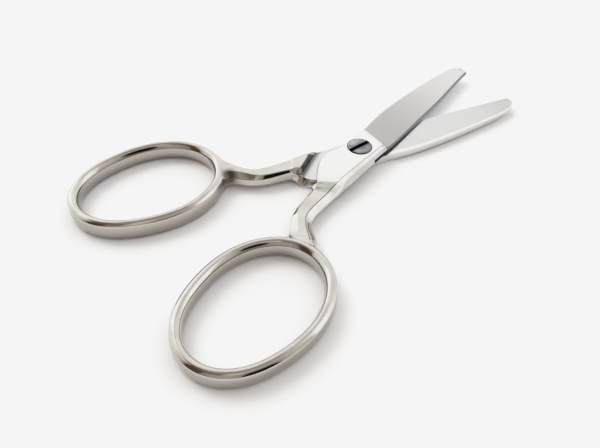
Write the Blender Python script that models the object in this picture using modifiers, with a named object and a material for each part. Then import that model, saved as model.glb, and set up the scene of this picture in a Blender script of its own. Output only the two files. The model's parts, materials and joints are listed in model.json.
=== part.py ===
"""Pocket thread snips: two one-piece forged steel halves that lap at a slotted pivot screw.

Frame: metres, +Z up.  The pivot axis is the Z axis, the table plane is z = 0, +Y runs
between the two blades towards their tips, and the upper half's finger ring is on the +X side.
Every half is drawn closed, in its own frame: blade along +Y, ring to +X, outer face +Z and
z = 0 on the plane where the halves lap.  The lower half is the same forging turned over.
"""
import math
from collections import namedtuple

import bmesh
import bpy
from mathutils import Vector

# ---------------------------------------------------------------- driving dimensions, in mm
MM = 0.001
HALF_THICK = 2.35          # lap plane to outer face: half of the forging's full thickness
LAP_GAP = 0.15             # each lap face stays this far from the lap plane
OPEN_DEG = 8.31            # each half is swung this far from closed
BLADE_TIP_Y = 49.4         # pivot to blade tip

RING_CENTRE = (13.51, -47.33)
RING_TILT_DEG = 1.95       # the oval's long axis, from the closed shears' own axis
RING_RADIUS = 13.63        # mean radius of the ring's centreline
RING_OVAL = 2.21           # second harmonic: long semi-axis minus mean
RING_EGG = 0.20            # third harmonic: blunter at the rear
RING_SQUARE = 0.18         # fourth harmonic
RING_STEPS = 20
RING_PROFILE = ((1.43, 0.0), (1.40, 0.95), (1.24, 1.80), (0.55, 2.32),
                (-0.35, 2.12), (-0.98, 1.25), (-1.14, 0.0))   # outer wall to inner wall, z >= 0
JOIN_NEAR_DEG = 24.0       # where the shank meets the ring, from the ring's front end
JOIN_MID_DEG = 11.0
JOIN_FAR_DEG = -2.0

STOP_NORMAL = (0.813, -0.583)   # across the stop line of the tang
STOP_ALONG = (0.583, 0.813)     # along the stop line, towards the blade
STOP_LIP = 0.22            # the stop wall leans back this much from foot to lip
UPPER_PLATE = 9.10         # lap plate's slanted rear edge, as an offset along STOP_NORMAL
LOWER_PLATE = 10.10
STOP_CLEARANCE = 0.45      # left between a plate edge and the other half's stop when aligned

SHANK_HALF = 1.70          # half thickness of the shank
BEVEL_WIDE = 0.45          # plan width of the bevel along the cutting edge
EDGE_LAND = 0.14           # height of the cutting edge's flat land

HOLE_RADIUS = 1.80
SINK_RADIUS = 2.75         # countersink at the outer face of the upper half
SINK_DEPTH = 1.05
SCREW_RADIUS = 1.50
SCREW_NECK = 2.45          # cone under the head, at the outer face
HEAD_RADIUS = 2.95
HEAD_UNDER = 0.25          # underside of the head above the outer face
HEAD_THICK = 0.35
HEAD_EDGE = 0.10
SLOT_WIDE = 0.85
SLOT_DEEP = 0.75
SLOT_DEG = 88.0
ROUND_STEPS = 32

# Rows of a section, round it from the outer face's near edge (near faces the other half)
(TOP_NEAR, TOP_MID, TOP_FAR, FAR_HIGH, FAR_MID, FAR_LOW,
 LOW_FAR, LOW_MID, LOW_NEAR, NEAR_LOW, NEAR_MID, NEAR_HIGH) = range(12)

# How far each corner of a section lies inside its near or far edge, the height between a face
# and the corner below it on either side, and the creases of its rows
Style = namedtuple("Style", "near_in far_in high_in drop low_near low_far low_in rise creases")
SHANK = Style(0.45, 1.25, 0.50, 0.75, 0.45, 1.25, 0.50, 0.75,
              {TOP_NEAR: 0.7, TOP_FAR: 0.7, LOW_FAR: 0.7, LOW_NEAR: 0.7})
BLOCK = Style(0.30, 1.25, 0.50, 0.75, 0.30, 1.25, 0.50, 0.75,
              {TOP_NEAR: 0.7, TOP_FAR: 0.7, LOW_FAR: 0.7, LOW_NEAR: 0.7})
PLATE = Style(0.05, 1.20, 0.55, 0.50, 0.0, 0.0, 0.0, 0.50,
              {TOP_NEAR: 0.9, TOP_FAR: 0.9, FAR_HIGH: 0.8, LOW_FAR: 1.0, LOW_NEAR: 1.0})
BLADE = Style(0.10, BEVEL_WIDE, BEVEL_WIDE * 2.0 / 3.0, 0.30, 0.0, 0.0, 0.0, EDGE_LAND,
              {TOP_NEAR: 0.7, TOP_FAR: 1.0, FAR_LOW: 1.0, LOW_FAR: 1.0, LOW_NEAR: 1.0})

# near (x, y), far (x, y), outer face at the near and far side, inner face, style
Station = namedtuple("Station", "near far top_near top_far low style sharp")


def stop_point(offset, along):
    """Point on the tang's stop line."""
    x = offset * STOP_NORMAL[0] + along * STOP_ALONG[0]
    y = offset * STOP_NORMAL[1] + along * STOP_ALONG[1]
    return x, y


def stop_at(offset, x):
    """Point with this x on the line that runs this far across the stop."""
    return x, (offset - x * STOP_NORMAL[0]) / STOP_NORMAL[1]


def plate_point(offset, along):
    """Point on the lap plate's rear edge, which meets the other half's stop line."""
    x, y = stop_point(offset, along)
    return -x, y


def shank_stations():
    """Ring to the end of the tang's block, all at full thickness."""
    half = SHANK_HALF
    full = HALF_THICK
    plan = (
        ((5.9, -30.1), (10.9, -27.45), half, SHANK),
        ((4.5, -28.5), (8.5, -26.2), half, SHANK),
        ((3.2, -26.6), (7.2, -25.0), half, SHANK),
        ((2.4, -24.5), (6.55, -23.4), half, SHANK),
        ((1.9, -22.5), (6.12, -21.0), half, SHANK),
        ((1.6, -20.6), (6.0, -19.1), half, SHANK),
        ((1.2, -18.5), (5.84, -16.8), half, SHANK),
        ((0.6, -17.7), (5.76, -15.0), full, BLOCK),
    )
    return [Station(near, far, z, z, -z, style, False) for near, far, z, style in plan]


def tang_stations(plate_offset, stop_offset):
    """The stop wall and the lap plate, up to the shoulder where the blade starts."""
    top = HALF_THICK
    low = LAP_GAP
    lip_near = stop_point(stop_offset + STOP_LIP, -12.9)
    lip_far = stop_at(stop_offset + STOP_LIP, 5.70)
    foot_near = stop_point(stop_offset, -12.8)
    foot_far = stop_at(stop_offset, 5.60)
    stations = [
        Station(lip_near, lip_far, top, top, -top, BLOCK, True),
        Station(foot_near, foot_far, top, top, low, PLATE, True),
    ]
    plan = (
        (plate_point(plate_offset, -12.2), (5.48, -8.0)),
        (plate_point(plate_offset, -9.6), (5.41, -7.1)),
        (plate_point(plate_offset, -7.2), (5.33, -6.0)),
        ((-4.15, -8.6), (5.22, -4.9)),
        ((-4.1, -7.0), (5.14, -3.4)),
        ((-3.55, -5.0), (5.05, -1.8)),
        ((-3.2, -2.6), (4.97, -0.2)),
        ((-3.25, 0.6), (4.88, 1.8)),
        ((-3.4, 3.7), (4.78, 3.8)),
        ((-3.55, 6.1), (4.76, 5.3)),
    )
    for near, far in plan:
        stations.append(Station(near, far, top, top, low, PLATE, False))
    return stations


def blade_stations():
    """Ground blade: its outer face falls towards the cutting edge and towards the tip."""
    plan = (
        ((-3.8, 7.4), (4.68, 6.2), 2.26, 1.15),
        ((-4.4, 10.5), (4.45, 10.0), 2.18, 1.06),
        ((-5.05, 15.0), (3.95, 15.0), 2.05, 1.00),
        ((-5.3, 23.0), (3.15, 23.0), 1.90, 0.94),
        ((-5.2, 31.0), (2.5, 31.0), 1.75, 0.88),
        ((-4.95, 38.5), (1.4, 38.5), 1.60, 0.82),
        ((-4.6, 43.5), (0.75, 43.2), 1.50, 0.79),
        ((-4.1, 46.4), (0.4, 46.2), 1.42, 0.77),
        ((-3.2, 48.5), (0.2, 47.9), 1.36, 0.75),
    )
    stations = [Station(near, far, back, edge, LAP_GAP, BLADE, False)
                for near, far, back, edge in plan]
    tip = Station((-1.9, 49.3), (0.1, BLADE_TIP_Y), 1.32, 0.74, LAP_GAP, BLADE, True)
    return stations + [tip]


def section_points(station):
    """The twelve cage points of one station, in row order, in mm."""
    style = station.style
    near = Vector((*station.near, 0.0))
    far = Vector((*station.far, 0.0))
    across = (far - near).normalized()
    up = Vector((0.0, 0.0, 1.0))

    def at(base, inward, z):
        return base + across * inward + up * z

    far_high = station.top_far - style.drop
    near_high = station.top_near - style.drop
    wall_low = station.low + style.rise
    middle = (near + far) / 2.0
    far_mid_in = 0.0
    if style is BLADE:
        far_mid_in = style.high_in / 2.0
    return [
        at(near, style.near_in, station.top_near),
        at(middle, 0.0, (station.top_near + station.top_far) / 2.0),
        at(far, -style.far_in, station.top_far),
        at(far, -style.high_in, far_high),
        at(far, -far_mid_in, (far_high + wall_low) / 2.0),
        at(far, -style.low_in, wall_low),
        at(far, -style.low_far, station.low),
        at(middle, 0.0, station.low),
        at(near, style.low_near, station.low),
        at(near, 0.0, wall_low),
        at(near, 0.0, (near_high + wall_low) / 2.0),
        at(near, 0.0, near_high),
    ]


def ring_angles():
    """Ring stations by angle from the front end: three at the shank, the rest even."""
    start = JOIN_NEAR_DEG
    sweep = 360.0 - (JOIN_NEAR_DEG - JOIN_FAR_DEG)
    rest = RING_STEPS - 2
    angles = [JOIN_FAR_DEG, JOIN_MID_DEG]
    angles += [start + sweep * step / rest for step in range(rest)]
    return [math.radians(angle) for angle in angles]


def ring_point(angle):
    """Point on the ring's centreline; the angle runs from the front end towards -X."""
    turn = math.pi + angle
    radius = (RING_RADIUS + RING_OVAL * math.cos(2.0 * turn)
              + RING_EGG * math.cos(3.0 * turn) + RING_SQUARE * math.cos(4.0 * turn))
    heading = angle + math.radians(RING_TILT_DEG)
    return Vector((RING_CENTRE[0] - radius * math.sin(heading),
                   RING_CENTRE[1] + radius * math.cos(heading), 0.0))


def ring_columns(bm):
    """Vertices of the ring, one column of twelve for each angle."""
    step = math.radians(0.5)
    upper = [(u, z) for u, z in RING_PROFILE]
    lower = [(u, -z) for u, z in RING_PROFILE[-2:0:-1]]
    columns = []
    for angle in ring_angles():
        tangent = (ring_point(angle + step) - ring_point(angle - step)).normalized()
        outward = Vector((tangent.y, -tangent.x, 0.0))
        column = []
        for u, z in upper + lower:
            place = ring_point(angle) + outward * u + Vector((0.0, 0.0, z))
            column.append(bm.verts.new(place * MM))
        columns.append(column)
    return columns


def set_crease(bm, layer, first, second, amount):
    edge = bm.edges.get((first, second))
    edge[layer] = max(edge[layer], amount)


def build_ring(bm, layer):
    """Ring with a two-by-four patch left open on its outer wall; returns the patch's loop."""
    columns = ring_columns(bm)
    count = len(columns)
    rows = len(columns[0])
    open_rows = {0, 1, rows - 1, rows - 2}
    for index, column in enumerate(columns):
        after = columns[(index + 1) % count]
        for row in range(rows):
            if index < 2 and row in open_rows:
                continue
            following = (row + 1) % rows
            bm.faces.new((column[row], after[row], after[following], column[following]))
        set_ring_creases(bm, layer, column, after)
    far, middle, near = columns[0], columns[1], columns[2]
    return [near[2], middle[2], far[2], far[1], far[0], far[rows - 1],
            far[rows - 2], middle[rows - 2], near[rows - 2], near[rows - 1], near[0], near[1]]


def set_ring_creases(bm, layer, column, after):
    """Crisp corners between the outer wall and the ring's top and bottom."""
    for row in (2, len(column) - 2):
        set_crease(bm, layer, column[row], after[row], 0.45)


def build_body(bm, layer, loop, stations):
    """Loft from the ring's open patch through all stations and close the blade tip."""
    rows = len(loop)
    for station in stations:
        section = [bm.verts.new(point * MM) for point in section_points(station)]
        for row in range(rows):
            following = (row + 1) % rows
            bm.faces.new((loop[row], loop[following], section[following], section[row]))
        for row, amount in station.style.creases.items():
            set_crease(bm, layer, loop[row], section[row], amount)
        if station.sharp:
            for row in range(rows):
                following = (row + 1) % rows
                if LOW_FAR <= row < LOW_NEAR or station is stations[-1]:
                    set_crease(bm, layer, section[row], section[following], 0.9)
        loop = section
    bm.faces.new(loop)


def make_half(name, collection, plate_offset, stop_offset):
    """One forged half: finger ring, shank, tang with its stop, and blade."""
    bm = bmesh.new()
    layer = bm.edges.layers.float.new("crease_edge")
    loop = build_ring(bm, layer)
    stations = shank_stations() + tang_stations(plate_offset, stop_offset) + blade_stations()
    build_body(bm, layer, loop, stations)
    bmesh.ops.recalc_face_normals(bm, faces=bm.faces)
    mesh = bpy.data.meshes.new(name)
    bm.to_mesh(mesh)
    bm.free()
    half = bpy.data.objects.new(name, mesh)
    collection.objects.link(half)
    smooth = half.modifiers.new("smooth", "SUBSURF")
    smooth.levels = 1
    smooth.render_levels = 1
    return half


def make_collection(name):
    collection = bpy.data.collections.new(name)
    bpy.context.scene.collection.children.link(collection)
    return collection


def make_material(name, colour, roughness):
    material = bpy.data.materials.new(name)
    material.use_nodes = True
    shader = material.node_tree.nodes["Principled BSDF"]
    shader.inputs["Base Color"].default_value = (*colour, 1.0)
    shader.inputs["Metallic"].default_value = 1.0
    shader.inputs["Roughness"].default_value = roughness
    return material


def make_turned(name, collection, profile):
    """Round piece from (radius, z) points listed from the top down, in mm."""
    mesh = bpy.data.meshes.new(name)
    points = [(radius * MM, 0.0, z * MM) for radius, z in profile]
    mesh.from_pydata(points, [(i, i + 1) for i in range(len(points) - 1)], [])
    turned = bpy.data.objects.new(name, mesh)
    collection.objects.link(turned)
    spin = turned.modifiers.new("spin", "SCREW")
    spin.steps = ROUND_STEPS
    spin.render_steps = ROUND_STEPS
    spin.use_merge_vertices = True
    spin.merge_threshold = 0.00001
    return turned


def hide_cutter(cutter):
    cutter.hide_render = True
    cutter.display_type = "WIRE"


def cut(target, cutter):
    boolean = target.modifiers.new(cutter.name, "BOOLEAN")
    boolean.operation = "DIFFERENCE"
    boolean.solver = "EXACT"
    boolean.object = cutter
    hide_cutter(cutter)


def make_hole_cutter(name, collection, sunk):
    """Cutter for a half's pivot hole; the upper half's is countersunk for the screw."""
    past = HALF_THICK + 1.0
    if not sunk:
        return make_turned(name, collection, ((0.0, past), (HOLE_RADIUS, past),
                                              (HOLE_RADIUS, -past), (0.0, -past)))
    slope = (SINK_RADIUS - HOLE_RADIUS) / SINK_DEPTH
    mouth = SINK_RADIUS + slope * (past - HALF_THICK)
    profile = ((0.0, past), (mouth, past), (HOLE_RADIUS, HALF_THICK - SINK_DEPTH),
               (HOLE_RADIUS, -past), (0.0, -past))
    return make_turned(name, collection, profile)


def make_screw(collection, cutters):
    """Slotted pivot screw: low head on the upper half, shank through both halves."""
    under = HALF_THICK + HEAD_UNDER
    top = under + HEAD_THICK
    slope = (SINK_RADIUS - HOLE_RADIUS) / SINK_DEPTH
    cone_end = HALF_THICK - (SCREW_NECK - SCREW_RADIUS) / slope
    profile = ((0.0, top), (HEAD_RADIUS - HEAD_EDGE, top), (HEAD_RADIUS, top - HEAD_EDGE),
               (HEAD_RADIUS, under), (SCREW_NECK, under), (SCREW_NECK, HALF_THICK),
               (SCREW_RADIUS, cone_end), (SCREW_RADIUS, -HALF_THICK), (0.0, -HALF_THICK))
    screw = make_turned("pivot_screw", collection, profile)
    slot = make_slot_cutter(cutters, top)
    cut(screw, slot)
    return screw


def make_slot_cutter(cutters, head_top):
    """Box across the screw's head."""
    bm = bmesh.new()
    bmesh.ops.create_cube(bm, size=1.0)
    length = 2.0 * HEAD_RADIUS + 2.0
    height = 2.0 * SLOT_DEEP
    bmesh.ops.scale(bm, vec=(length * MM, SLOT_WIDE * MM, height * MM), verts=bm.verts)
    bmesh.ops.translate(bm, vec=(0.0, 0.0, head_top * MM), verts=bm.verts)
    mesh = bpy.data.meshes.new("slot_cutter")
    bm.to_mesh(mesh)
    bm.free()
    slot = bpy.data.objects.new("slot_cutter", mesh)
    slot.rotation_euler = (0.0, 0.0, math.radians(SLOT_DEG))
    cutters.objects.link(slot)
    return slot


def place(objects, rotation):
    """Put pieces drawn about the lap plane on the table, turned as they lie at rest."""
    for item in objects:
        item.location = (0.0, 0.0, HALF_THICK * MM)
        item.rotation_euler = rotation


def shade_round(item, angle_deg):
    item.data.shade_smooth()
    item.data.set_sharp_from_angle(angle=math.radians(angle_deg))


def main():
    for item in list(bpy.data.objects):
        bpy.data.objects.remove(item)
    snips = make_collection("thread_snips")
    cutters = make_collection("cutters")
    nickel = make_material("bright_nickel", (0.80, 0.78, 0.74), 0.12)
    screw_steel = make_material("screw_steel", (0.45, 0.46, 0.49), 0.35)

    upper = make_half("upper_half", snips, UPPER_PLATE, LOWER_PLATE + STOP_CLEARANCE)
    lower = make_half("lower_half", snips, LOWER_PLATE, UPPER_PLATE + STOP_CLEARANCE)
    upper_hole = make_hole_cutter("upper_hole_cutter", cutters, True)
    lower_hole = make_hole_cutter("lower_hole_cutter", cutters, False)
    screw = make_screw(snips, cutters)
    cut(upper, upper_hole)
    cut(lower, lower_hole)

    swing = math.radians(OPEN_DEG)
    place((upper, upper_hole), (0.0, 0.0, swing))
    place((lower, lower_hole), (0.0, math.pi, -swing))
    place((screw,), (0.0, 0.0, 0.0))
    bpy.data.objects["slot_cutter"].location = (0.0, 0.0, HALF_THICK * MM)
    for half in (upper, lower):
        half.data.materials.append(nickel)
        shade_round(half, 35.0)
    screw.data.materials.append(screw_steel)
    shade_round(screw, 35.0)


main()
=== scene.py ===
"""Looks for the pocket thread snips: finer meshes, steel finishes, floor, light and camera.

Every half is drawn closed, in its own frame and in mm: blade along +Y, ring to +X, outer face
+Z and z = 0 on the plane where the halves lap.  The lower half is the same forging turned over.
"""

import json
import math
from collections import namedtuple

import bmesh
import bpy
from mathutils import Matrix, Vector

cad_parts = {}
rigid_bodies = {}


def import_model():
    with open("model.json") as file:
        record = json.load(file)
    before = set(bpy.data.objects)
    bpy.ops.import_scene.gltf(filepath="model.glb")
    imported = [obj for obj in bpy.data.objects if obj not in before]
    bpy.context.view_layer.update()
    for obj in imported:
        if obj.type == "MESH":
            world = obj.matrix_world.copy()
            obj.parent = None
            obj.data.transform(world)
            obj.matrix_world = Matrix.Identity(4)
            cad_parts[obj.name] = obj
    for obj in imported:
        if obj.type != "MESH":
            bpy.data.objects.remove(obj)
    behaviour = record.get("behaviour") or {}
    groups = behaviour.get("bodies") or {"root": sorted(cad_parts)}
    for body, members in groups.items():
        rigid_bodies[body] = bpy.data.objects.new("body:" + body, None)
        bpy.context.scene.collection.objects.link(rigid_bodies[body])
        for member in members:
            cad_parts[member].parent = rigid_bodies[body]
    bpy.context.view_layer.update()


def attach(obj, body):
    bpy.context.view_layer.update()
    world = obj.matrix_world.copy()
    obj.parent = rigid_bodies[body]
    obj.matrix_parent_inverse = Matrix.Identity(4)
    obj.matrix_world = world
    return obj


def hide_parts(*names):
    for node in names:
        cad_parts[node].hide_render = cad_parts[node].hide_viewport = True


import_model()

# ---------------------------------------------------------------- driving dimensions, in mm
MM = 0.001
HALF_THICK = 2.35          # lap plane to outer face: half of the forging's full thickness
LAP_GAP = 0.15             # each lap face stays this far from the lap plane
OPEN_DEG = 8.31            # each half is swung this far from closed
BLADE_TIP_Y = 49.4         # pivot to blade tip

RING_CENTRE = (13.51, -47.33)
RING_TILT_DEG = 1.95       # the oval's long axis, from the closed shears' own axis
RING_RADIUS = 13.63        # mean radius of the ring's centreline
RING_OVAL = 2.21           # second harmonic: long semi-axis minus mean
RING_EGG = 0.20            # third harmonic: blunter at the rear
RING_SQUARE = 0.18         # fourth harmonic
RING_STEPS = 44
RING_PROFILE = ((1.43, 0.0), (1.41, 0.95), (1.25, 1.72), (0.80, 2.10), (0.22, 2.34),
                (-0.36, 2.14), (-0.76, 1.72), (-1.03, 1.12), (-1.14, 0.0))   # outer to inner wall
RING_CREASES = {2: 0.8, 7: 0.35}   # by profile row: crisp outer corner, soft inner ridge
JOIN_DEGS = (-2.0, 4.5, 11.0, 17.0, 23.0)   # where the shank meets the ring, from its front end
TANGENT_STEP_DEG = 0.5     # the centreline's direction is taken over this step to each side
JOIN_GUARD_DEG = 3.0       # ring columns this far outside the join keep its corners tight

STOP_NORMAL = (0.813, -0.583)   # across the stop line of the tang
STOP_ALONG = (0.583, 0.813)     # along the stop line, towards the blade
LOWER_LIP = 0.30           # a stop wall leans back this much from foot to lip
UPPER_LIP = 0.45
LOWER_BULGE = 0.70         # the lower plate's rear edge stands out this much below the lap face
UPPER_PLATE = 9.10         # lap plate's slanted rear edge, as an offset along STOP_NORMAL
LOWER_PLATE = 10.10
FLAT_SIDE = ((4.34, -14.90), (3.88, -9.20))   # far border of the tang's flat, in plan
FAR_SIDE = ((5.74, -14.40), (5.48, -8.00))    # the tang's far edge, in plan
FAR_HEIGHTS = (1.10, 1.90)                    # top of the far bevel at either end of it
UNDER_LIP = 0.70           # the undercut of a stop starts this far behind its lip
FOOT_CORNER = (0.90, -0.25)     # plan steps from the plate's rear corner to the stop's foot
SHELF_CORNER = (1.15, -0.15)    # and to the narrow shelf beside it
STOP_CLEARANCE = 0.45      # left between a plate edge and the other half's stop when aligned

SHANK_TOP = 1.65           # half thickness of the shank at its flat
SHANK_FAR_TOP = 0.85       # top of the shank's far bevel
PLATE_CHAMFER = (0.14, 0.10)    # plan step from the plate's near edge to the crease beside it
PLATE_NEAR_DROP = 0.15     # from the plate's face down to its near and far edge
PLATE_FAR_DROP = 0.45
BLADE_CREASES = (0.06, 0.90)    # shares of the blade's width, from the back to the edge
BLADE_BACK_DROP = 0.12
EDGE_LAND = 0.14           # height of the cutting edge's flat land
BEVEL_WIDE = 0.45
BODY_LEVELS = 3            # subdivision of a half
SHARP_CREASE = 0.9         # round the stop wall and the blade's end

HOLE_RADIUS = 1.80
SINK_RADIUS = 3.00         # countersink at the outer face of the upper half
SINK_DEPTH = 1.05
SCREW_RADIUS = 1.50
SCREW_NECK = 2.40          # top of the cone under the head
HEAD_RADIUS = 2.82
HEAD_UNDER = -0.10         # underside of the head, just inside the countersink
HEAD_THICK = 0.32
HEAD_EDGE = 0.13
SLOT_WIDE = 1.05
SLOT_DEEP = 0.75
SLOT_DEG = 88.0            # from +X, in the open pose
CUT_PAST = 1.0             # cutters reach this far past the steel
ROUND_STEPS = 96
MERGE_DISTANCE = 0.00001   # in m
SMOOTH_DEG = 35.0          # sharper edges than this stay sharp

# Rows of a section, round it from the outer face's near edge (near faces the other half)
(TOP_NEAR, TOP_NEAR_IN, TOP_MID, TOP_FAR_IN, TOP_FAR, FAR_HIGH, FAR_MID, FAR_LOW,
 LOW_FAR, LOW_FAR_IN, LOW_MID, LOW_NEAR_IN, LOW_NEAR, NEAR_LOW, NEAR_MID, NEAR_HIGH) = range(16)

# Where a section's cage points lie, as shares of the way between its named points
SIDE_SHARES = (0.2, 0.5, 0.8)              # near side, from the inner face up
BEVEL_SHARES = (0.33, 0.67, 1.0)           # far side of plate and blade, from the bevel's top down
LAP_SHARES = (0.0, 0.06, 0.5, 0.97, 1.0)   # inner face of plate and blade, far to near
THICK_BEVEL_TOP = 0.55                     # from the flat's crease to the far edge
THICK_FAR_ROUND = (0.75, 0.45)             # rounding below it: share outward, share of height
PLATE_BEVEL_TOP = 0.52
PLATE_EDGE = (0.97, 0.25)                  # foot of the plate's far side: share outward, rise in mm
UNDERCUT = (0.4, 0.8, 0.35)                # below a stop: share outward, shares of the depth

# Finishes, in the order of a half's material slots
NICKEL, LAPPED, SATIN, GROUND, STOP_WALL, BEVEL, EDGE = range(7)

# One station of the loft: plan points of the near edge, near crease, far crease and far edge,
# then heights: outer face, its near and far edge, inner face (None: mirror of the outer), style,
# whether the section itself is creased round its inner face, and the inner face's own near edge
Station = namedtuple("Station", "near near_in far_in far top near_top far_top low style sharp "
                     "lap_near", defaults=(None,))
# A style's crease by row, and how strongly a painted shade line darkens a row
Style = namedtuple("Style", "creases residue")
SHANK = Style({TOP_NEAR_IN: 0.95, TOP_NEAR: 0.95, TOP_FAR_IN: 0.9, FAR_MID: 0.5,
               LOW_NEAR_IN: 0.95, LOW_NEAR: 0.95, LOW_FAR_IN: 0.9},
              {TOP_FAR_IN: 1.0, LOW_FAR_IN: 0.92, FAR_MID: 0.95})
BLOCK = Style({TOP_NEAR_IN: 0.5, TOP_FAR_IN: 0.85, FAR_MID: 0.4,
               LOW_NEAR_IN: 0.5, LOW_FAR_IN: 0.85},
              {TOP_FAR_IN: 1.0, LOW_FAR_IN: 0.92, FAR_MID: 0.92})
PLATE = Style({TOP_NEAR_IN: 0.85, TOP_FAR_IN: 0.95, TOP_FAR: 0.85, LOW_FAR: 1.0, LOW_NEAR: 1.0},
              {TOP_FAR_IN: 0.92})
BLADE = Style({TOP_NEAR_IN: 0.6, TOP_FAR: 1.0, FAR_LOW: 1.0, LOW_FAR: 1.0, LOW_NEAR: 1.0}, {})


# ---------------------------------------------------------------- stations of a half
def stop_point(offset, along):
    """Plan point, offset across the tang's stop line and along it."""
    x = offset * STOP_NORMAL[0] + along * STOP_ALONG[0]
    y = offset * STOP_NORMAL[1] + along * STOP_ALONG[1]
    return x, y


def stop_meets(offset, line):
    """Point where a plan line crosses the line that runs this far across the stop."""
    first, second = (Vector(point) for point in line)
    start = first.dot(Vector(STOP_NORMAL))
    end = second.dot(Vector(STOP_NORMAL))
    return tuple(between(first, second, (offset - start) / (end - start)))


def plate_point(offset, along):
    """The same for the lap plate's rear edge, which meets the other half's stop."""
    x, y = stop_point(offset, along)
    return -x, y


def shank_stations():
    """Neck and shank: flat on both faces, chamfered to the near side, bevelled to the far side."""
    plan = (
        ((6.65, -31.30), (8.30, -30.85), (10.90, -29.55), (12.60, -28.75), 0.95),
        ((5.90, -30.10), (7.60, -29.75), (9.50, -28.65), (10.90, -27.45), 0.85),
        ((4.70, -28.80), (6.40, -28.10), (7.75, -27.45), (8.90, -26.40), 0.80),
        ((3.62, -27.40), (4.75, -26.70), (6.40, -26.20), (7.60, -25.45), 0.80),
        ((2.74, -25.90), (3.55, -25.55), (5.60, -24.95), (6.95, -24.60), 0.80),
        ((2.18, -24.20), (2.90, -24.05), (5.12, -23.30), (6.48, -23.10), 0.85),
        ((1.84, -22.50), (2.45, -22.40), (4.87, -21.40), (6.12, -21.00), 0.90),
        ((1.56, -20.60), (2.12, -20.50), (4.72, -19.40), (6.00, -19.10), 0.98),
        ((1.34, -19.20), (1.84, -19.10), (4.60, -17.90), (5.88, -17.60), 1.04),
        ((1.22, -18.50), (1.68, -18.40), (4.54, -17.10), (5.84, -16.80), 1.10),
    )
    return [Station(*points, SHANK_TOP, edge, SHANK_FAR_TOP, None, SHANK, False)
            for *points, edge in plan]


def far_height(y):
    """Height of the far bevel's top, rising evenly along the tang."""
    share = (y - FAR_SIDE[0][1]) / (FAR_SIDE[1][1] - FAR_SIDE[0][1])
    return FAR_HEIGHTS[0] + (FAR_HEIGHTS[1] - FAR_HEIGHTS[0]) * share


def block_stations(stop_offset, lip, bulge):
    """The tang's block: it steps up from the shank to the full thickness of the forging."""
    behind = stop_point(stop_offset + lip + UNDER_LIP, -12.9)
    lip_near = stop_point(stop_offset + lip, -12.7)
    lip_far = stop_meets(stop_offset + lip, FLAT_SIDE)
    lip_edge = stop_meets(stop_offset + lip, FAR_SIDE)
    return [
        Station((1.10, -18.05), (1.55, -18.00), (4.47, -16.30), (5.78, -16.10),
                1.70, 1.10, 0.88, -1.70, BLOCK, False),
        Station((0.78, -17.95), (1.38, -17.60), (4.42, -15.60), (5.76, -15.30),
                1.83, 1.15, 0.95, -1.98, BLOCK, False),
        Station((0.44 - 0.1 * bulge, -17.75), (1.05, -17.05), (4.34, -14.90), (5.74, -14.40),
                1.98, 1.25, 1.10, -2.12, BLOCK, False, behind),
        Station((0.22 - 0.25 * bulge, -17.25), (0.80, -16.50), lip_far, lip_edge,
                2.09, 1.45, far_height(lip_edge[1]), 0.2 - HALF_THICK, BLOCK, True, lip_near),
    ]


def tang_stations(plate_offset, stop_offset, bulge):
    """The stop wall's foot and the lap plate, up to the shoulder where the blade starts."""
    top = HALF_THICK
    foot_near = stop_point(stop_offset, -12.6)
    foot_far = stop_meets(stop_offset, FLAT_SIDE)
    foot_edge = stop_meets(stop_offset, FAR_SIDE)
    rear = plate_offset + bulge
    corner = plate_point(rear, -12.9)
    plan = (
        (shifted(corner, FOOT_CORNER), foot_far, foot_edge, 2.20, foot_near),
        (plate_point(rear, -12.2), (3.88, -9.2), (5.48, -8.0), top,
         plate_point(plate_offset, -11.7)),
        (plate_point(rear, -9.9), (3.88, -8.0), (5.41, -7.1), top,
         plate_point(plate_offset, -9.7)),
        (plate_point(plate_offset + 0.4 * bulge, -7.3), (3.86, -6.7), (5.33, -6.1), top,
         plate_point(plate_offset, -7.4)),
        ((-4.15, -8.6), (3.80, -5.2), (5.20, -5.0), top, None),
        ((-4.1, -7.0), (3.77, -3.6), (5.12, -3.4), top, None),
        ((-3.55, -5.0), (3.74, -2.0), (5.05, -1.8), top, None),
        ((-3.2, -2.6), (3.70, -0.4), (4.97, -0.2), top, None),
        ((-3.25, 0.6), (3.66, 1.6), (4.88, 1.8), top, None),
        ((-3.4, 3.7), (3.62, 3.5), (4.76, 3.8), top, None),
        ((-3.55, 6.1), (3.60, 4.7), (4.80, 5.3), top, None),
    )
    stations = []
    for index, (near, far_in, far, height, lap_near) in enumerate(plan):
        stations.append(Station(near, shifted(near, PLATE_CHAMFER), far_in, far, height,
                                height - PLATE_NEAR_DROP, height - PLATE_FAR_DROP, LAP_GAP,
                                PLATE, index == 0, lap_near))
    stations[0] = stations[0]._replace(near_in=shifted(corner, SHELF_CORNER),
                                       far_top=far_height(foot_edge[1]))
    return stations


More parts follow.
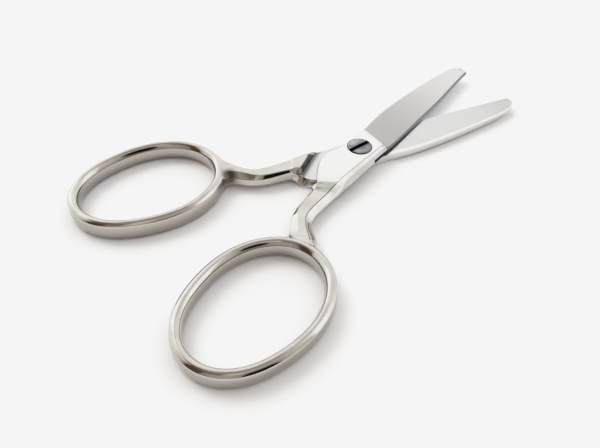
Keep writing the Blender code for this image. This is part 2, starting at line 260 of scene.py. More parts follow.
def blade_stations():
    """Ground blade: its outer face falls towards the cutting edge and towards the tip."""
    plan = (
        ((-3.68, 6.9), (4.72, 5.9), 2.30, 1.22),
        ((-3.88, 8.0), (4.68, 6.9), 2.24, 1.12),
        ((-4.36, 10.5), (4.45, 10.0), 2.18, 1.06),
        ((-5.02, 15.0), (3.95, 15.0), 2.05, 1.00),
        ((-5.3, 23.0), (3.15, 23.0), 1.90, 0.94),
        ((-5.2, 31.0), (2.5, 31.0), 1.75, 0.88),
        ((-4.95, 38.5), (1.4, 38.5), 1.60, 0.82),
        ((-4.6, 43.5), (0.75, 43.2), 1.50, 0.79),
        ((-4.1, 46.4), (0.4, 46.2), 1.42, 0.77),
        ((-3.2, 48.5), (0.2, 47.9), 1.36, 0.75),
        ((-1.9, 49.3), (0.1, BLADE_TIP_Y), 1.32, 0.74),
    )
    stations = []
    for near, far, back, edge in plan:
        near_in, far_in = [between(Vector(near), Vector(far), share) for share in BLADE_CREASES]
        stations.append(Station(near, near_in, far_in, far, back, back - BLADE_BACK_DROP, edge,
                                LAP_GAP, BLADE, False))
    stations[-1] = stations[-1]._replace(sharp=True)
    return stations


def shifted(point, step):
    """The plan point moved by a step."""
    return point[0] + step[0], point[1] + step[1]


def between(first, second, share):
    """The vector that lies this share of the way from the first to the second."""
    return first + (second - first) * share


def raised(point, height):
    """The plan point lifted to a height."""
    return Vector((point[0], point[1], height))


def thick_section(station):
    """Sixteen cage points of a station at full thickness, both faces shaped alike."""
    low = -station.top if station.low is None else station.low
    scale = low / -station.top
    near_low = -station.near_top * scale
    far = Vector(station.far)
    bevel_top = between(Vector(station.far_in), far, THICK_BEVEL_TOP)
    top = [raised(station.near, station.near_top), raised(station.near_in, station.top), None,
           raised(station.far_in, station.top), raised(bevel_top, station.far_top)]
    top[2] = between(top[1], top[3], 0.5)
    outward, height_share = THICK_FAR_ROUND
    round_point = between(bevel_top, far, outward)
    round_height = station.far_top * height_share
    far_rows = [raised(round_point, round_height), raised(far, 0.0),
                raised(round_point, -round_height)]
    inner = station.lap_near or station.near_in
    bottom = [raised(bevel_top, -station.far_top * scale), raised(station.far_in, low), None,
              raised(inner, low), raised(station.near, near_low)]
    bottom[2] = between(bottom[1], bottom[3], 0.5)
    if station.lap_near:
        outward, depth, side_depth = UNDERCUT
        bottom[4] = raised(between(Vector(inner), Vector(station.near), outward), low * depth)
    near_rows = [between(bottom[4], top[0], share) for share in SIDE_SHARES]
    if station.lap_near:
        near_rows[0] = raised(station.near, low * side_depth)
    return top + far_rows + bottom + near_rows


def lapped_section(station):
    """Sixteen cage points of the plate or the blade, flat on the inner face."""
    low = station.low
    near = Vector(station.near)
    far = Vector(station.far)
    flat_end = Vector(station.far_in)
    far_in = raised(flat_end, station.top)
    if station.style is BLADE:
        slope = (station.top - station.far_top) / (far - Vector(station.near_in)).length
        far_in.z = station.top - slope * (flat_end - Vector(station.near_in)).length
        across = (far - near).normalized()
        shoulder = raised(far - across * BEVEL_WIDE, station.far_top)
        edge = raised(far, low + EDGE_LAND)
    else:
        outward, rise = PLATE_EDGE
        shoulder = raised(between(flat_end, far, PLATE_BEVEL_TOP), station.far_top)
        edge = raised(between(flat_end, far, outward), low + rise)
    top = [raised(near, station.near_top), raised(station.near_in, station.top),
           None, far_in, shoulder]
    top[2] = between(top[1], top[3], 0.5)
    far_rows = [between(shoulder, edge, share) for share in BEVEL_SHARES]
    lap_far = raised(far, low)
    lap_near = raised(station.lap_near or near, low)
    bottom = [between(lap_far, lap_near, share) for share in LAP_SHARES]
    near_rows = [between(lap_near, top[0], share) for share in SIDE_SHARES]
    return top + far_rows + bottom + near_rows


def section_points(station):
    """The sixteen cage points of one station, in row order, in mm."""
    if station.style in (PLATE, BLADE):
        return lapped_section(station)
    return thick_section(station)


# ---------------------------------------------------------------- cage of a half
def ring_angles():
    """Ring stations by angle from the front end: the join's own, its guards, the rest even."""
    start = JOIN_DEGS[-1] + JOIN_GUARD_DEG
    end = 360.0 + JOIN_DEGS[0] - JOIN_GUARD_DEG
    rest = RING_STEPS - len(JOIN_DEGS)
    angles = list(JOIN_DEGS)
    angles += [start + (end - start) * step / (rest - 1) for step in range(rest)]
    return [math.radians(angle) for angle in angles]


def ring_point(angle):
    """Point on the ring's centreline; the angle runs from the front end towards -X."""
    turn = math.pi + angle
    radius = (RING_RADIUS + RING_OVAL * math.cos(2.0 * turn)
              + RING_EGG * math.cos(3.0 * turn) + RING_SQUARE * math.cos(4.0 * turn))
    heading = angle + math.radians(RING_TILT_DEG)
    return Vector((RING_CENTRE[0] - radius * math.sin(heading),
                   RING_CENTRE[1] + radius * math.cos(heading), 0.0))


def ring_columns(bm):
    """Vertices of the ring, one column of sixteen for each angle."""
    step = math.radians(TANGENT_STEP_DEG)
    upper = list(RING_PROFILE)
    lower = [(u, -z) for u, z in RING_PROFILE[-2:0:-1]]
    columns = []
    for angle in ring_angles():
        tangent = (ring_point(angle + step) - ring_point(angle - step)).normalized()
        outward = Vector((tangent.y, -tangent.x, 0.0))
        column = []
        for u, z in upper + lower:
            place = ring_point(angle) + outward * u + Vector((0.0, 0.0, z))
            column.append(bm.verts.new(place * MM))
        columns.append(column)
    return columns


def set_crease(bm, layer, first, second, amount):
    """Crease the edge between two vertices, unless it is creased more already."""
    edge = bm.edges.get((first, second))
    edge[layer] = max(edge[layer], amount)


def build_ring(bm, layer):
    """Ring with a four-by-four patch left open on its outer wall; returns the patch's loop."""
    columns = ring_columns(bm)
    rows = len(columns[0])
    span = len(JOIN_DEGS) - 1
    open_rows = {0, 1, rows - 1, rows - 2}
    for index, column in enumerate(columns):
        after = columns[(index + 1) % len(columns)]
        for row in range(rows):
            if index < span and row in open_rows:
                continue
            following = (row + 1) % rows
            bm.faces.new((column[row], after[row], after[following], column[following]))
        for row, amount in RING_CREASES.items():
            set_crease(bm, layer, column[row], after[row], amount)
            set_crease(bm, layer, column[rows - row], after[rows - row], amount)
    far, near = columns[0], columns[span]
    loop = [column[2] for column in columns[span::-1]]
    loop += [far[1], far[0], far[rows - 1]]
    loop += [column[rows - 2] for column in columns[:span + 1]]
    loop += [near[rows - 1], near[0], near[1]]
    return loop


def build_body(bm, layer, loop, stations):
    """Loft from the ring's open patch through all stations and close the blade tip."""
    rows = len(loop)
    # painted shade lines along some rows, kept in a vertex layer
    residue = bm.verts.layers.float["residue"]
    for station in stations:
        section = [bm.verts.new(point * MM) for point in section_points(station)]
        for row, amount in station.style.residue.items():
            section[row][residue] = amount
        for row in range(rows):
            following = (row + 1) % rows
            face = bm.faces.new((loop[row], loop[following], section[following], section[row]))
            face.material_index = pick_finish(station, row)
        for row, amount in station.style.creases.items():
            set_crease(bm, layer, loop[row], section[row], amount)
        if station.sharp:
            for row in range(rows):
                following = (row + 1) % rows
                if LOW_FAR_IN <= row < LOW_NEAR or station is stations[-1]:
                    set_crease(bm, layer, section[row], section[following], SHARP_CREASE)
        loop = section
    cap_tip(bm, loop)


def cap_tip(bm, loop):
    """Close the blade's tip with quads between its outer and inner rows."""
    steps = TOP_FAR - TOP_NEAR
    top = loop[TOP_NEAR:TOP_FAR + 1]
    low = loop[LOW_FAR:LOW_NEAR + 1][::-1]
    far = loop[TOP_FAR:LOW_FAR + 1]
    near = [loop[TOP_NEAR]] + loop[LOW_NEAR:][::-1]
    grid = [top]
    for level in range(1, steps):
        line = [near[level]]
        for column in range(1, steps):
            line.append(bm.verts.new(top[column].co.lerp(low[column].co, level / steps)))
        line.append(far[level])
        grid.append(line)
    grid.append(low)
    for upper, lower in zip(grid, grid[1:]):
        for column in range(steps):
            bm.faces.new((upper[column], upper[column + 1], lower[column + 1], lower[column]))


def pick_finish(station, row):
    """Material index of one face of the loft."""
    # the stop wall's lower rows take the dark finish of painted shade
    if station.sharp and station.style is PLATE:
        return STOP_WALL if LOW_FAR_IN <= row <= LOW_MID else NICKEL
    if row == LOW_NEAR_IN and station.style is BLADE:
        return LAPPED
    if LOW_FAR <= row < LOW_NEAR and station.style in (PLATE, BLADE):
        return GROUND
    if station.style is BLADE:
        if TOP_NEAR <= row < TOP_FAR:
            return SATIN
        if row < FAR_MID:
            return BEVEL
        # near the shoulder the edge's land is black with painted shadow
        return EDGE if row < LOW_FAR else LAPPED
    if station.style is PLATE:
        beside_screw = station.near[1] > 0.0
        # painted shadow in the gap between the halves: the far side beside the screw takes the
        # edge's black
        if beside_screw and FAR_MID <= row < LOW_FAR:
            return EDGE
        if TOP_NEAR_IN <= row < TOP_FAR_IN or (beside_screw and row >= LOW_NEAR):
            return LAPPED
    return NICKEL


# ---------------------------------------------------------------- pieces
def make_half(name, plate_offset, stop_offset, lip, bulge):
    """One forged half: finger ring, shank, tang with its stop, and blade."""
    bm = bmesh.new()
    # vertex layer for the painted shade lines along creases
    bm.verts.layers.float.new("residue")
    layer = bm.edges.layers.float.new("crease_edge")
    loop = build_ring(bm, layer)
    stations = shank_stations() + block_stations(stop_offset, lip, bulge)
    stations += tang_stations(plate_offset, stop_offset, bulge) + blade_stations()
    build_body(bm, layer, loop, stations)
    bmesh.ops.recalc_face_normals(bm, faces=bm.faces)
    mesh = bpy.data.meshes.new(name)
    bm.to_mesh(mesh)
    bm.free()
    half = bpy.data.objects.new(name, mesh)
    bpy.context.scene.collection.objects.link(half)
    smooth = half.modifiers.new("smooth", "SUBSURF")
    smooth.levels = BODY_LEVELS
    smooth.render_levels = BODY_LEVELS
    return half


def make_turned(name, profile):
    """Round piece from (radius, z) points listed from the top down, in mm."""
    mesh = bpy.data.meshes.new(name)
    points = [(radius * MM, 0.0, z * MM) for radius, z in profile]
    mesh.from_pydata(points, [(i, i + 1) for i in range(len(points) - 1)], [])
    turned = bpy.data.objects.new(name, mesh)
    bpy.context.scene.collection.objects.link(turned)
    spin = turned.modifiers.new("spin", "SCREW")
    spin.steps = ROUND_STEPS
    spin.render_steps = ROUND_STEPS
    spin.use_merge_vertices = True
    spin.merge_threshold = MERGE_DISTANCE
    return turned


def cut(target, cutter):
    """Cut one piece by another; the cut faces take the cutter's material."""
    boolean = target.modifiers.new(cutter.name, "BOOLEAN")
    boolean.operation = "DIFFERENCE"
    boolean.solver = "EXACT"
    boolean.material_mode = "TRANSFER"
    boolean.object = cutter


def make_hole_cutter(name, sunk):
    """Cutter for a half's pivot hole; the upper half's is countersunk for the screw."""
    past = HALF_THICK + CUT_PAST
    if not sunk:
        return make_turned(name, ((0.0, past), (HOLE_RADIUS, past),
                                  (HOLE_RADIUS, -past), (0.0, -past)))
    slope = (SINK_RADIUS - HOLE_RADIUS) / SINK_DEPTH
    mouth = SINK_RADIUS + slope * CUT_PAST
    return make_turned(name, ((0.0, past), (mouth, past), (HOLE_RADIUS, HALF_THICK - SINK_DEPTH),
                              (HOLE_RADIUS, -past), (0.0, -past)))


def make_screw():
    """Slotted pivot screw: low head on the upper half, shank through both halves."""
    under = HALF_THICK + HEAD_UNDER
    top = under + HEAD_THICK
    slope = (SINK_RADIUS - HOLE_RADIUS) / SINK_DEPTH
    cone_end = under - (SCREW_NECK - SCREW_RADIUS) / slope
    profile = ((0.0, top), (HEAD_RADIUS - HEAD_EDGE, top), (HEAD_RADIUS, top - HEAD_EDGE),
               (HEAD_RADIUS, under), (SCREW_NECK, under), (SCREW_RADIUS, cone_end),
               (SCREW_RADIUS, -HALF_THICK), (0.0, -HALF_THICK))
    screw = make_turned("pivot_screw_fine", profile)
    bm = bmesh.new()
    bmesh.ops.create_cube(bm, size=1.0)
    length = 2.0 * (HEAD_RADIUS + CUT_PAST)
    bmesh.ops.scale(bm, vec=(length * MM, SLOT_WIDE * MM, 2.0 * SLOT_DEEP * MM), verts=bm.verts)
    bmesh.ops.translate(bm, vec=(0.0, 0.0, top * MM), verts=bm.verts)
    mesh = bpy.data.meshes.new("slot_cutter")
    bm.to_mesh(mesh)
    bm.free()
    slot = bpy.data.objects.new("slot_cutter", mesh)
    slot.rotation_euler = (0.0, 0.0, math.radians(SLOT_DEG))
    bpy.context.scene.collection.objects.link(slot)
    cut(screw, slot)
    return screw


def bake(piece):
    """Replace the piece's cage and modifiers by the mesh that they make."""
    bpy.context.view_layer.update()
    graph = bpy.context.evaluated_depsgraph_get()
    mesh = bpy.data.meshes.new_from_object(piece.evaluated_get(graph), depsgraph=graph)
    piece.modifiers.clear()
    piece.data = mesh


def place(piece, turn):
    """Turn the baked piece from its half's frame into the shared frame."""
    piece.data.transform(Matrix.Translation((0.0, 0.0, HALF_THICK * MM)) @ turn)


def shade_round(item):
    """Smooth shading, split at the item's sharp edges."""
    item.data.shade_smooth()
    item.data.set_sharp_from_angle(angle=math.radians(SMOOTH_DEG))


# ---------------------------------------------------------------- finishes
# Two tones mixed by noise: its scale in 1/m, its detail, where in it they change over, the tones
Mottle = namedtuple("Mottle", "scale detail spread first second")
NICKEL_CLOUD = Mottle(260.0, 3.0, (0.35, 0.70),
                      (0.60, 0.572, 0.538, 1.0), (0.54, 0.512, 0.475, 1.0))
# The stop's wall is painted dark: painted shade and dark reflection in the recess beside the lap
# plate
STOP_SHADE = Mottle(900.0, 3.0, (0.40, 0.65), (0.05, 0.045, 0.04, 1.0), (0.13, 0.12, 0.11, 1.0))
# Dark two-tone mottle on the bevel along the cutting edge
BEVEL_DARK_MOTTLE = Mottle(3000.0, 3.0, (0.35, 0.65),
                     (0.11, 0.108, 0.11, 1.0), (0.22, 0.216, 0.22, 1.0))
SCREW_CLOUD = Mottle(330.0, 2.0, (0.38, 0.62),
                     (0.17, 0.173, 0.185, 1.0), (0.42, 0.425, 0.445, 1.0))

# Painted shade: dark lines along creases, standing in for the dark reflection of rounded edges
CREASE_SHADE_TONE = (0.10, 0.092, 0.085, 1.0)
CREASE_SHADE_FROM = (0.86, 0.98)       # values of the layer where the painted shade line starts and is full
NICKEL_GLOSS = (700.0, (0.3, 0.75), (0.02, 0.06))   # noise scale, its spread, roughness over it
NICKEL_WAVES = (170.0, 1.0)       # scale in 1/m and detail of the waves left by hand polishing
WAVE_HEIGHT = 0.00010             # in m
# Painted shade on the rings' walls low down and at the front, where they reflect the shadowed floor
RING_WALL_SHADE = (0.43, 0.40, 0.365, 1.0)
RING_WALL_SHADE_TOP = (0.0035, 0.0041)  # the painted shade on the walls ends between these heights, in m
RING_WALL_SHADE_FRONT = (-0.033, -0.029)
# Painted shade in the corner where the lower half's shank meets its ring: its tone, spot and reach
JOIN_SHADE = (0.13, 0.10, 0.085, 1.0)
JOIN_SHADE_SPOT = (7.1, -30.9, 3.2)     # on the near side of the shank, where the ring starts, in mm
JOIN_SHADE_REACH = (0.0009, 0.0026)     # full painted shade to none, in m from the spot
LAPPED_TONE = (0.77, 0.767, 0.76, 1.0)
LAPPED_ROUGH = 0.25

GRAIN = (2600.0, 4.0, (0.3, 0.7))   # scale in 1/m, detail and spread of the grinding lines
GRAIN_CONTRAST = 0.03
GRAIN_DEPTH = 0.000004              # in m
# Ground faces: how far the lines are drawn out across the blade, tone, roughness, then where
# along Y in m the tone starts and ends changing towards the tip, and the tone there
Grinding = namedtuple("Grinding", "stretch tone rough start end tip_tone")
SATIN_FACE = Grinding((16.0, 1.0, 1.0), (0.475, 0.463, 0.458), 0.34,
                      0.008, 0.046, (0.72, 0.712, 0.705, 1.0))
LAP_FACE = Grinding((12.0, 1.0, 1.0), (0.642, 0.642, 0.642), 0.3,
                    0.034, 0.048, (0.57, 0.57, 0.57, 1.0))
# Painted shade of the lap face beside the other half's stop wall: its reach and tone
STOP_SHADE_REACH = 1.6                    # painted shade on the lap face reaches this far from the stop wall, in mm
STOP_SHADE_TONE = (0.16, 0.155, 0.15, 1.0)

STOP_ROUGH = 0.2
BEVEL_ROUGH = 0.3
EDGE_ROUGH = 0.35
# Painted shadow: the edge's land and the plate's far side are black beside the screw, where the
# halves overlap
EDGE_SHADOW = (0.012, 0.012, 0.014, 1.0)
EDGE_BRIGHT = (0.24, 0.236, 0.24, 1.0)
EDGE_CHANGE = (0.012, 0.024)        # the edge's land turns bright between these, along Y in m
# Painted shade in the screw's slot and the countersink round its head: tone and roughness
RECESS_SHADE = (0.015, 0.015, 0.017, 1.0)
RECESS_SHADE_ROUGH = 0.4
TURNED_LINES = (2500.0, 3.0, (1.0, 10.0, 1.0))   # scale in 1/m, detail, stretch
TURNED_SPREAD = (0.3, 0.7)
TURNED_ROUGH = (0.20, 0.35)


class Nodes:
    """Short way to add linked shader nodes to one material or world."""

    def __init__(self, tree):
        self.tree = tree

    def add(self, kind, settings=None, **sockets):
        """New node with its settings; _2=value feeds the input with index 2."""
        node = self.tree.nodes.new(kind)
        for name, value in (settings or {}).items():
            setattr(node, name, value)
        for name, value in sockets.items():
            self.set(node.inputs[int(name[1:])], value)
        return node

    def set(self, socket, value):
        """Link the input to another node's output, or give it a plain value."""
        if isinstance(value, bpy.types.NodeSocket):
            self.tree.links.new(value, socket)
        else:
            socket.default_value = value

    def math(self, operation, first, second=0.0, third=0.0):
        node = self.add("ShaderNodeMath", {"operation": operation}, _0=first, _1=second, _2=third)
        return node.outputs[0]

    def ramp(self, value, low, high, start=0.0, end=1.0):
        """Smooth step of value from low to high, as a number from start to end."""
        node = self.add("ShaderNodeMapRange", {"interpolation_type": "SMOOTHSTEP"},
                        _0=value, _1=low, _2=high, _3=start, _4=end)
        return node.outputs[0]

    def mix(self, factor, first, second):
        node = self.tree.nodes.new("ShaderNodeMix")
        node.data_type = "RGBA"
        self.set(node.inputs[0], factor)
        self.set(node.inputs[6], first)
        self.set(node.inputs[7], second)
        return node.outputs[2]

    def noise(self, vector, scale, detail=2.0, stretch=None, turn=0.0):
        """Noise in 1/m; stretch draws its grain out along each axis, turned round Z first."""
        if stretch:
            vector = self.add("ShaderNodeMapping", {"vector_type": "TEXTURE"}, _0=vector,
                              _2=(0.0, 0.0, turn), _3=stretch).outputs[0]
        node = self.add("ShaderNodeTexNoise", None, _0=vector)
        node.inputs["Scale"].default_value = scale
        node.inputs["Detail"].default_value = detail
        return node.outputs[0]

    def mottled(self, vector, mottle):
        """The two tones of a Mottle, mixed by its noise."""
        noise = self.noise(vector, mottle.scale, mottle.detail)
        return self.mix(self.ramp(noise, *mottle.spread), mottle.first, mottle.second)

    def vector_value(self, operation, first, second):
        """Number that a vector operation makes of two vectors."""
        node = self.add("ShaderNodeVectorMath", {"operation": operation}, _0=first, _1=second)
        return node.outputs["Value"]

    def split(self, vector):
        """The three numbers of a vector."""
        return self.add("ShaderNodeSeparateXYZ", None, _0=vector).outputs

    def bump(self, height, distance):
        node = self.tree.nodes.new("ShaderNodeBump")
        node.inputs["Strength"].default_value = 1.0
        node.inputs["Distance"].default_value = distance
        self.set(node.inputs["Height"], height)
        return node.outputs[0]


def crease_shaded(nodes, tone):
    """The tone with painted shade lines, dark reflections of the rounded creases, along the rows
    that carry them.
    """
    amount = nodes.add("ShaderNodeAttribute", {"attribute_name": "residue"}).outputs["Fac"]
    return nodes.mix(nodes.ramp(amount, *CREASE_SHADE_FROM), tone, CREASE_SHADE_TONE)


def new_metal(name):
    """A metal material, its nodes, its shader and the point on the piece."""
    material = bpy.data.materials.new(name)
    material.use_nodes = True
    shader = material.node_tree.nodes["Principled BSDF"]
    shader.inputs["Metallic"].default_value = 1.0
    nodes = Nodes(material.node_tree)
    spot = nodes.add("ShaderNodeTexCoord").outputs["Object"]
    return material, nodes, shader, spot


def make_nickel(name, join_spot=None):
    """Bright nickel plate over a hand-polished forging; painted shade darkens the rings' walls low
    down and at the front.

    The last argument is a point in the corner where the shank meets the ring; painted shade darkens
    the nickel round it.
    """
    material, nodes, shader, spot = new_metal(name)
    tone = nodes.mottled(spot, NICKEL_CLOUD)
    _, y, z = nodes.split(spot)
    # painted shade: the walls darker low down and at the front
    wall = nodes.math("MULTIPLY", nodes.ramp(z, *RING_WALL_SHADE_TOP, 1.0, 0.0),
                      nodes.ramp(y, *RING_WALL_SHADE_FRONT, 1.0, 0.0))
    tone = nodes.mix(wall, tone, RING_WALL_SHADE)
    # painted shade in the corner where the shank meets the ring
    if join_spot:
        away = nodes.vector_value("DISTANCE", spot, join_spot)
        tone = nodes.mix(nodes.ramp(away, *JOIN_SHADE_REACH, 1.0, 0.0), tone, JOIN_SHADE)
    nodes.set(shader.inputs["Base Color"], crease_shaded(nodes, tone))
    gloss_scale, spread, rough = NICKEL_GLOSS
    gloss = nodes.noise(spot, gloss_scale)
    nodes.set(shader.inputs["Roughness"], nodes.ramp(gloss, *spread, *rough))
    waves = nodes.bump(nodes.noise(spot, *NICKEL_WAVES), WAVE_HEIGHT)
    nodes.set(shader.inputs["Normal"], waves)
    return material


def make_lapped():
    """Polished flats of the tang and lap plate."""
    material, nodes, shader, _ = new_metal("lapped_steel")
    nodes.set(shader.inputs["Base Color"], crease_shaded(nodes, LAPPED_TONE))
    shader.inputs["Roughness"].default_value = LAPPED_ROUGH
    return material


def make_ground(name, turn, face, stop=None):
    """Ground steel with fine lines drawn out along one axis, its tone changing to the tip.

    stop is the direction across the stop wall and the wall's offset in mm; painted shade darkens
    the face beside the wall.
    """
    material, nodes, shader, spot = new_metal(name)
    scale, detail, spread = GRAIN
    grain = nodes.noise(spot, scale, detail, face.stretch, turn)
    light = (*[value * (1.0 + GRAIN_CONTRAST) for value in face.tone], 1.0)
    dark = (*[value * (1.0 - GRAIN_CONTRAST) for value in face.tone], 1.0)
    tone = nodes.mix(nodes.ramp(grain, *spread), dark, light)
    along = nodes.split(spot)[1]
    tone = nodes.mix(nodes.ramp(along, face.start, face.end), tone, face.tip_tone)
    if stop:
        across, offset = stop
        away = nodes.vector_value("DOT_PRODUCT", spot, across)
        # painted shade beside the stop wall
        near_stop = nodes.ramp(away, (offset - STOP_SHADE_REACH) * MM, offset * MM)
        tone = nodes.mix(near_stop, tone, STOP_SHADE_TONE)
    nodes.set(shader.inputs["Base Color"], tone)
    shader.inputs["Roughness"].default_value = face.rough
    nodes.set(shader.inputs["Normal"], nodes.bump(grain, GRAIN_DEPTH))
    return material


def make_mottled(name, mottle, rough):
    """Steel of two tones, evenly rough."""
    material, nodes, shader, spot = new_metal(name)
    nodes.set(shader.inputs["Base Color"], nodes.mottled(spot, mottle))
    shader.inputs["Roughness"].default_value = rough
    return material


def make_edge():
    """The edge's land: painted shadow, black, beside the screw where the halves overlap; bright
    towards the tip.
    """
    material, nodes, shader, spot = new_metal("edge_land")
    along = nodes.split(spot)[1]
    tone = nodes.mix(nodes.ramp(along, *EDGE_CHANGE), EDGE_SHADOW, EDGE_BRIGHT)
    nodes.set(shader.inputs["Base Color"], tone)
    shader.inputs["Roughness"].default_value = EDGE_ROUGH
    return material


def make_slot_shade():
    """Painted shade: black in the screw's slot and in the countersink round its head."""
    material, _, shader, _ = new_metal("slot_shade")
    shader.inputs["Base Color"].default_value = RECESS_SHADE
    shader.inputs["Roughness"].default_value = RECESS_SHADE_ROUGH
    return material


def make_screw_steel():
    """The screw's bluish steel, with faint lines left by the lathe."""
    material, nodes, shader, spot = new_metal("screw_steel")
    nodes.set(shader.inputs["Base Color"], nodes.mottled(spot, SCREW_CLOUD))
    lines = nodes.noise(spot, *TURNED_LINES)
    nodes.set(shader.inputs["Roughness"], nodes.ramp(lines, *TURNED_SPREAD, *TURNED_ROUGH))
    return material


# ---------------------------------------------------------------- floor, studio and camera
FLOOR_HALF = 2.0           # in m
FLOOR_CELLS = 8
FLOOR_DROP = 0.00002       # the floor stays this far below the lowest face, in m
FLOOR_WHITE = (0.88, 0.885, 0.895, 1.0)
FLOOR_ROUGH = 0.8
FLOOR_SPECULAR = 0.1

# Studio surroundings: heading in degrees from +X towards +Y, and colour, above 1 at the lamps
WALLS = (
    (-180, (1.34, 1.38, 1.42)), (-163, (1.34, 1.38, 1.42)), (-156, (1.06, 1.08, 1.10)),
    (-146, (1.02, 1.03, 1.04)), (-132, (0.88, 0.86, 0.84)), (-121, (0.72, 0.68, 0.63)),
    (-113, (0.50, 0.44, 0.38)), (-107, (0.10, 0.058, 0.042)), (-86, (0.11, 0.065, 0.048)),
    (-79, (0.32, 0.26, 0.21)), (-64, (0.42, 0.37, 0.32)), (-42, (0.46, 0.42, 0.38)),
    (-28, (0.38, 0.34, 0.30)), (-18, (0.27, 0.24, 0.21)), (6, (0.27, 0.24, 0.21)),
    (13, (0.40, 0.37, 0.33)), (25, (0.60, 0.57, 0.53)), (37, (0.68, 0.66, 0.63)),
    (42, (1.12, 1.13, 1.14)), (54, (1.28, 1.31, 1.34)), (67, (1.28, 1.31, 1.34)),
    (76, (1.05, 1.05, 1.05)), (92, (0.92, 0.91, 0.90)), (116, (0.95, 0.94, 0.93)),
    (132, (1.09, 1.09, 1.09)), (146, (1.03, 1.03, 1.03)), (166, (1.06, 1.07, 1.08)),
    (180, (1.34, 1.38, 1.42)),
)
UPPER = (
    (-180, (0.82, 0.81, 0.80)), (-168, (1.0, 1.0, 0.99)), (-158, (0.98, 0.97, 0.95)),
    (-148, (0.62, 0.58, 0.54)), (-139, (0.27, 0.21, 0.17)), (-120, (0.19, 0.13, 0.10)),
    (-60, (0.24, 0.18, 0.15)), (-50, (0.52, 0.48, 0.44)), (-38, (0.68, 0.65, 0.61)),
    (-12, (0.50, 0.46, 0.42)), (35, (0.50, 0.47, 0.44)), (50, (0.66, 0.65, 0.63)),
    (100, (0.72, 0.71, 0.70)), (150, (0.85, 0.84, 0.83)), (180, (0.82, 0.81, 0.80)),
)
CEILING = (0.36, 0.33, 0.30, 1.0)
UPPER_FROM = (0.76, 0.84)      # sines of the heights where the walls give way to the upper part
CEILING_FROM = (0.92, 0.97)
STUDIO_LEVEL = 1.17
# One dark opening in the walls: heading, height, core and rim in degrees, and colour
DARK_DOOR = (-7, 30, 15, 19, (0.010, 0.009, 0.009, 1.0))
# Soft boxes: name, heading and height in degrees, distance and size in m, power in W
LIGHTS = (("key", -160, 48, 0.9, 0.5, 2.6), ("fill", 0, 90, 1.0, 2.0, 5.2))

CAMERA_PLACE = (0.06895, -0.07642, 0.08658)
CAMERA_TILT_DEG = 47.024       # below the horizon
CAMERA_HEADING_DEG = -49.604   # turn about Z that brings the line of sight to +Y
CAMERA_ROLL_DEG = 1.905
LENS_MM = 32.77
SENSOR_MM = 36.0
CLIP_START = 0.001

SHOULDER = ((0.0, 0.0), (0.66, 0.66), (0.86, 0.84), (1.08, 0.948))   # scene light to shown light
CURVE_END = 2.0
COMBINED_CURVE = 3             # the one that acts on red, green and blue alike


def make_floor():
    """White table top under the snips."""
    bm = bmesh.new()
    bmesh.ops.create_grid(bm, x_segments=FLOOR_CELLS, y_segments=FLOOR_CELLS, size=FLOOR_HALF)
    mesh = bpy.data.meshes.new("floor")
    bm.to_mesh(mesh)
    bm.free()
    floor = bpy.data.objects.new("floor", mesh)
    floor.location = (0.0, 0.0, -FLOOR_DROP)
    bpy.context.scene.collection.objects.link(floor)
    material = bpy.data.materials.new("floor_white")
    material.use_nodes = True
    shader = material.node_tree.nodes["Principled BSDF"]
    shader.inputs["Base Color"].default_value = FLOOR_WHITE
    shader.inputs["Roughness"].default_value = FLOOR_ROUGH
    shader.inputs["Specular IOR Level"].default_value = FLOOR_SPECULAR
    floor.data.materials.append(material)


def direction(heading, height):
    """Unit vector towards a heading and a height above the horizon, both in degrees."""
    flat = math.cos(math.radians(height))
    return (flat * math.cos(math.radians(heading)), flat * math.sin(math.radians(heading)),
            math.sin(math.radians(height)))


def heading_ramp(nodes, share, stops):
    """Colours round the horizon; share is 0 and 1 at heading -180 and 180."""
    ramp = nodes.add("ShaderNodeValToRGB", None, _0=share)
    elements = ramp.color_ramp.elements
    elements[0].position = 0.0
    elements[1].position = 1.0
    while len(elements) < len(stops):
        elements.new(0.5)
    for element, (heading, _) in zip(elements, stops):
        element.position = (heading + 180.0) / 360.0
    for element, (_, colour) in zip(elements, stops):
        element.color = (*colour, 1.0)
    return ramp.outputs[0]


def make_world():
    """Soft studio surroundings, as the bright metal sees them."""
    world = bpy.data.worlds.new("studio")
    bpy.context.scene.world = world
    world.use_nodes = True
    nodes = Nodes(world.node_tree)
    way = nodes.add("ShaderNodeTexCoord").outputs["Generated"]
    x, y, z = nodes.split(way)
    turn = nodes.math("ARCTAN2", y, x)
    share = nodes.math("MULTIPLY_ADD", turn, 0.5 / math.pi, 0.5)
    walls = heading_ramp(nodes, share, WALLS)
    upper = heading_ramp(nodes, share, UPPER)
    colour = nodes.mix(nodes.ramp(z, *UPPER_FROM), walls, upper)
    colour = nodes.mix(nodes.ramp(z, *CEILING_FROM), colour, CEILING)
    heading, height, core, rim, shade = DARK_DOOR
    toward = nodes.vector_value("DOT_PRODUCT", way, direction(heading, height))
    inside = nodes.ramp(toward, math.cos(math.radians(rim)), math.cos(math.radians(core)))
    colour = nodes.mix(inside, colour, shade)
    background = world.node_tree.nodes["Background"]
    nodes.set(background.inputs["Color"], colour)
    background.inputs["Strength"].default_value = STUDIO_LEVEL


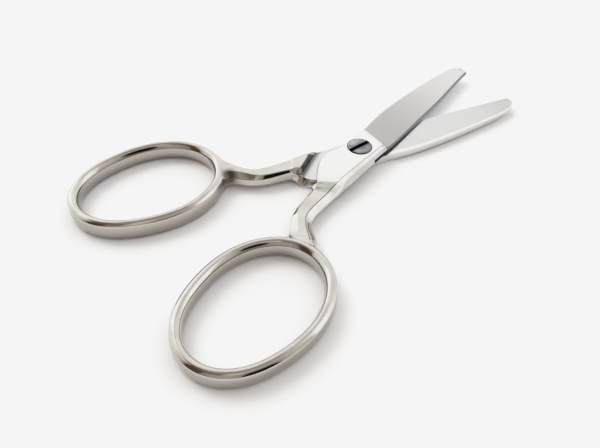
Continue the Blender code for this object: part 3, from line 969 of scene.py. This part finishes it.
def make_camera():
    """Camera at its place, turned to its heading, tilted down and rolled."""
    tilt = math.radians(CAMERA_TILT_DEG)
    look = Matrix(((1.0, 0.0, 0.0),
                   (0.0, -math.sin(tilt), -math.cos(tilt)),
                   (0.0, math.cos(tilt), -math.sin(tilt))))
    axes = (Matrix.Rotation(math.radians(CAMERA_ROLL_DEG), 3, "Z") @ look
            @ Matrix.Rotation(math.radians(CAMERA_HEADING_DEG), 3, "Z"))
    camera_data = bpy.data.cameras.new("camera")
    camera_data.sensor_width = SENSOR_MM
    camera_data.lens = LENS_MM
    camera_data.clip_start = CLIP_START
    camera = bpy.data.objects.new("camera", camera_data)
    turn = Matrix((axes[0], -axes[1], -axes[2])).transposed()
    camera.matrix_world = Matrix.Translation(CAMERA_PLACE) @ turn.to_4x4()
    bpy.context.scene.collection.objects.link(camera)
    bpy.context.scene.camera = camera


def make_light(name, heading, height, distance, size, power):
    """Soft box for the floor; the metal sees the studio surroundings instead."""
    data = bpy.data.lights.new(name, "AREA")
    data.shape = "DISK"
    data.size = size
    data.energy = power
    light = bpy.data.objects.new(name, data)
    outward = Vector(direction(heading, height))
    light.location = outward * distance
    light.rotation_euler = (-outward).to_track_quat("-Z", "Y").to_euler()
    light.visible_glossy = False
    light.visible_camera = False
    bpy.context.scene.collection.objects.link(light)


def set_exposure():
    """High-key exposure: whites roll off to the paper white of the floor."""
    view = bpy.context.scene.view_settings
    view.view_transform = "Standard"
    view.use_curve_mapping = True
    mapping = view.curve_mapping
    mapping.clip_max_x = CURVE_END
    mapping.clip_max_y = CURVE_END
    mapping.extend = "HORIZONTAL"
    points = mapping.curves[COMBINED_CURVE].points
    points[0].location = SHOULDER[0]
    points[1].location = SHOULDER[1]
    for location in SHOULDER[2:]:
        points.new(*location)
    for point in points:
        point.handle_type = "AUTO_CLAMPED"
    mapping.update()


# ---------------------------------------------------------------- the whole scene
def finish_half(half, side, stop_offset, shared):
    """Give a half its materials in slot order and return its nickel.

    side is 1 for the upper half and -1 for the lower, which is the other way round in plan.
    """
    turn = side * math.radians(OPEN_DEG)
    spin = Matrix.Rotation(turn, 3, "Z")
    across = spin @ Vector((side * STOP_NORMAL[0], STOP_NORMAL[1], 0.0))
    name = half.name.split("_")[0]
    satin = make_ground("satin_" + name, turn, SATIN_FACE)
    ground = make_ground("ground_" + name, turn, LAP_FACE, (tuple(across), stop_offset))
    # the spot of painted shade where the lower half's shank meets its ring
    join_x, join_y, join_z = JOIN_SHADE_SPOT
    join_point = spin @ Vector((side * join_x, join_y, join_z)) * MM
    nickel = make_nickel("nickel_" + name, None if side > 0.0 else tuple(join_point))
    lapped, stop_wall, bevel, edge = shared
    for material in (nickel, lapped, satin, ground, stop_wall, bevel, edge):
        half.data.materials.append(material)
    return nickel


def make_pieces():
    """The two halves and the screw with their finishes and cuts, each in its own frame."""
    # the stop wall's finish is painted shade
    shared = (make_lapped(), make_mottled("filed_stop", STOP_SHADE, STOP_ROUGH),
              make_mottled("edge_bevel", BEVEL_DARK_MOTTLE, BEVEL_ROUGH), make_edge())
    screw_steel = make_screw_steel()
    upper_stop = LOWER_PLATE + LOWER_BULGE + STOP_CLEARANCE
    lower_stop = UPPER_PLATE + STOP_CLEARANCE
    upper = make_half("upper_half_fine", UPPER_PLATE, upper_stop, UPPER_LIP, 0.0)
    lower = make_half("lower_half_fine", LOWER_PLATE, lower_stop, LOWER_LIP, LOWER_BULGE)
    finish_half(upper, 1.0, upper_stop, shared)
    nickel = finish_half(lower, -1.0, lower_stop, shared)
    upper_hole = make_hole_cutter("upper_hole_cutter", True)
    lower_hole = make_hole_cutter("lower_hole_cutter", False)
    recess_shade = make_slot_shade()
    upper_hole.data.materials.append(recess_shade)
    lower_hole.data.materials.append(nickel)
    screw = make_screw()
    screw.data.materials.append(screw_steel)
    screw.modifiers[-1].object.data.materials.append(recess_shade)
    cut(upper, upper_hole)
    cut(lower, lower_hole)
    return upper, lower, screw


def bake_pieces(pieces):
    """Bake every piece, then clear the cutters away."""
    for piece in pieces:
        bake(piece)
        shade_round(piece)
    for cutter in [item for item in bpy.data.objects if item.name.endswith("cutter")]:
        bpy.data.objects.remove(cutter)


def place_pieces(upper, lower, screw):
    """Swing the halves open about the pivot, the lower one turned over."""
    swing = math.radians(OPEN_DEG)
    turn_over = Matrix.Rotation(math.pi, 4, "Y")
    place(upper, Matrix.Rotation(swing, 4, "Z"))
    place(lower, Matrix.Rotation(-swing, 4, "Z") @ turn_over)
    place(screw, Matrix.Identity(4))


def main():
    """Build, place and register the pieces, then set the stage."""
    pieces = make_pieces()
    bake_pieces(pieces)
    place_pieces(*pieces)
    for piece, body in zip(pieces, ("upper_half", "lower_half", "pivot_screw")):
        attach(piece, body)
        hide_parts(body)
    make_floor()
    make_camera()
    make_world()
    for light in LIGHTS:
        make_light(*light)
    set_exposure()


main()
